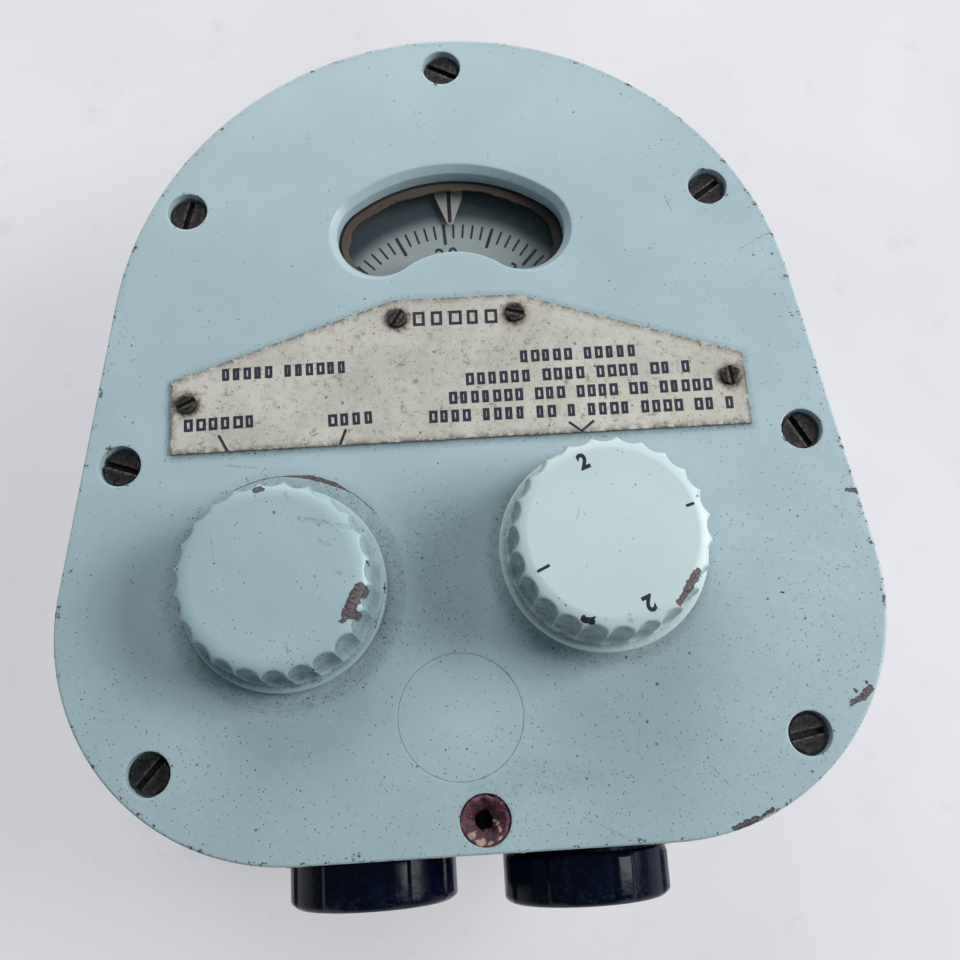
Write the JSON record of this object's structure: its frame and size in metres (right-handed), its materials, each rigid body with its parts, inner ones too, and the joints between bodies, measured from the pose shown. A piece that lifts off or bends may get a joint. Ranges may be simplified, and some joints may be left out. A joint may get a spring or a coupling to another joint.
{
  "type": "flight computer speed input unit",
  "caption": "Panel-mounted flight computer unit: D-shaped front panel with a windowed speed dial, a function switch, a pull-out setting knob and capped connectors.",
  "frame": {"origin": "middle of the rear face, behind the centre of the front panel's top arc", "axes": "+Z the way the front panel faces, +Y towards the top of the panel, +X to the right as the panel is read"},
  "size_m": [0.1778, 0.2044, 0.094],
  "materials": {
    "case_paint": "satin blue-grey paint on cast aluminium",
    "panel_paint": "satin blue-grey paint, speckled and chipped",
    "knob_paint": "satin blue-grey paint, chipped to brown primer at the edges",
    "legend_paint": "matt cream paint, dirty",
    "white_paint": "matt white paint with a black centre line",
    "dial_paint": "matt pale grey dial with black divisions",
    "dark_screw": "oxidised, nearly black",
    "seal_compound": "cracked dark red sealing compound",
    "cork": "brown rubberised cork",
    "window_glass": "clear",
    "plain_aluminium": "dull machined",
    "black_anodise": "black anodised",
    "brass": "dull machined",
    "steel": "machined",
    "black_rubber": "matt",
    "black_plastic": "moulded",
    "cap_plastic": "glossy moulded, scuffed",
    "paxolin": "paper laminate",
    "loom_sleeve": "varnished cotton sleeve"
  },
  "bodies": {
    "unit": {"case": "case_paint", "panel_gasket": "black_rubber", "front_panel": "panel_paint", "panel_screws": "dark_screw", "sealed_screw": "dark_screw", "seal_compound": "seal_compound", "blanking_disc": "panel_paint", "legend_plate": "legend_paint", "legend_screws": "dark_screw", "window_gasket": "cork", "window_glass": "window_glass", "window_retainer": "plain_aluminium", "retainer_screws": "brass", "index_pointer": "white_paint", "index_rivets": "brass", "mechanism_plate": "plain_aluminium", "plate_pillars": "brass", "pillar_screws": "brass", "dial_bearing": "brass", "input_bush": "brass", "input_bush_nut": "brass", "detent_ring": "steel", "input_bearing": "brass", "synchro_body": "steel", "synchro_clamps": "brass", "synchro_clamp_screws": "brass", "switch_housing": "steel", "switch_bush_nut": "brass", "switch_wafers": "paxolin", "switch_contacts": "brass", "switch_spacers": "plain_aluminium", "switch_tie_screws": "brass", "connector_gaskets": "black_rubber", "connector_shells": "black_anodise", "connector_inserts": "black_plastic", "connector_screws": "brass", "terminal_block": "paxolin", "wiring_looms": "loom_sleeve"},
    "dial": {"dial_card": "dial_paint", "dial_carrier": "plain_aluminium", "dial_screws": "brass", "dial_gear": "brass", "dial_spindle": "steel", "spindle_clip": "steel"},
    "setting_sleeve": {"setting_pinion": "brass", "pinion_clip": "steel"},
    "speed_control": {"input_knob": "knob_paint", "input_shaft": "steel", "shaft_clip": "steel", "input_grub_screw": "dark_screw"},
    "synchro_rotor": {"synchro_shaft": "steel", "synchro_pinion": "brass"},
    "function_switch": {"switch_knob": "knob_paint", "switch_shaft": "steel", "switch_rotors": "paxolin", "switch_grub_screw": "dark_screw"},
    "cap_left": {"dust_cap_left": "cap_plastic", "cap_seal_left": "black_rubber"},
    "cap_right": {"dust_cap_right": "cap_plastic", "cap_seal_right": "black_rubber"}
  },
  "joints": [
    {"name": "dial_turn", "type": "hinge", "parent": "unit", "child": "dial", "pos_m": [0, 0.0028, 0.059], "axis": [0, 0, 1], "continuous": true},
    {"name": "speed_setting_turn", "type": "hinge", "parent": "unit", "child": "setting_sleeve", "pos_m": [0.0279, -0.0528, 0.055], "axis": [0, 0, 1], "continuous": true},
    {"name": "speed_setting_pull", "type": "slide", "parent": "setting_sleeve", "child": "speed_control", "axis": [0, 0, 1], "range_m": [-0.006, 0]},
    {"name": "synchro_turn", "type": "hinge", "parent": "unit", "child": "synchro_rotor", "pos_m": [-0.0034, -0.05529, 0.055], "axis": [0, 0, 1], "continuous": true},
    {"name": "function_switch_turn", "type": "hinge", "parent": "unit", "child": "function_switch", "pos_m": [-0.0398, -0.0566, 0.08], "axis": [0, 0, 1], "range_deg": [0, 45]},
    {"name": "cap_left_pull", "type": "slide", "parent": "unit", "child": "cap_left", "axis": [0, -1, 0], "range_m": [0, 0.02]},
    {"name": "cap_right_pull", "type": "slide", "parent": "unit", "child": "cap_right", "axis": [0, -1, 0], "range_m": [-0.0018, 0.0182]}
  ],
  "couplings": [
    {"joint": "speed_setting_turn", "follows": "dial_turn", "ratio": -3.4286},
    {"joint": "synchro_turn", "follows": "dial_turn", "ratio": -4.8}
  ]
}
